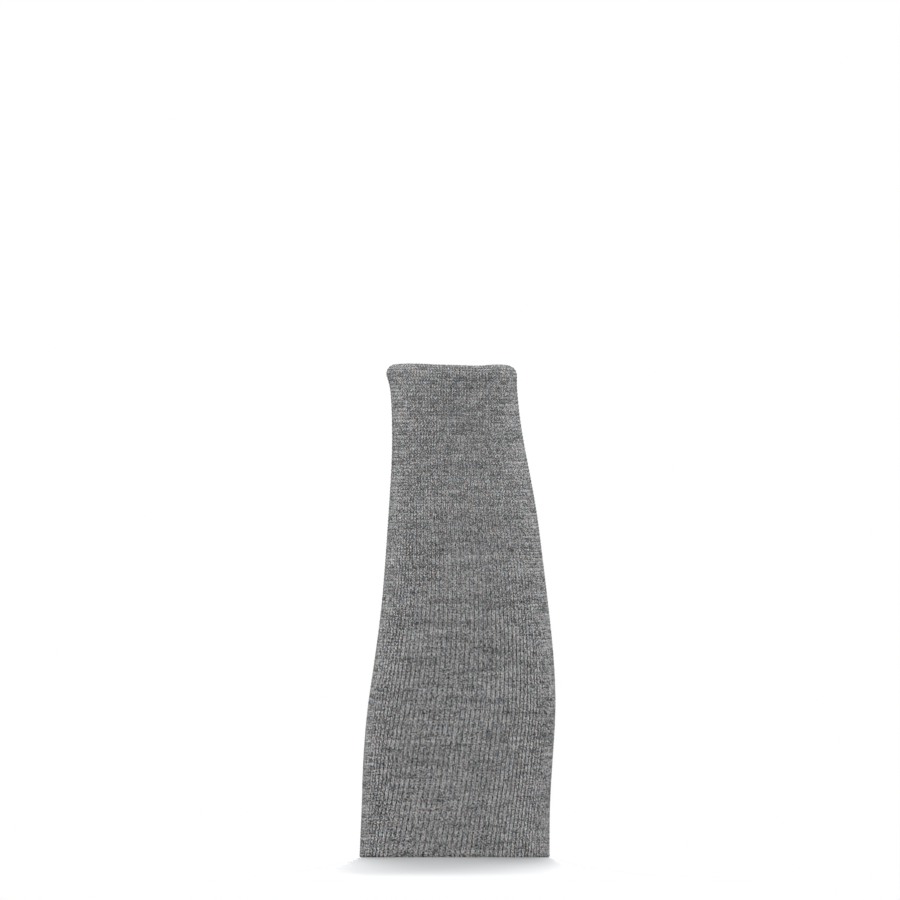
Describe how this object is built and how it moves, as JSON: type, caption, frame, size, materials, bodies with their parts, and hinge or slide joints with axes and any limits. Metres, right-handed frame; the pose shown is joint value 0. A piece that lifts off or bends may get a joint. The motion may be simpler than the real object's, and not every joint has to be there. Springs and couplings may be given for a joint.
{
  "type": "cut resistant sleeve",
  "caption": "Seamless knitted tube in heather grey yarn that covers the forearm from wrist to elbow, with a turned-in wrist welt and a plain elbow edge.",
  "frame": {"origin": "centre of the elbow opening, in the plane of the elbow edge, where the forearm goes in", "axes": "+Z along the forearm towards the wrist, -Y out of the back of the forearm, the side that faces the camera in the picture"},
  "size_m": [0.1209, 0.113, 0.305],
  "materials": {
    "heather_knit": "matt plain-knit fabric of heather grey marl yarn, ribbed lengthwise by its stitch columns"
  },
  "bodies": {
    "root": {"knit_sleeve": "heather_knit"}
  },
  "joints": []
}
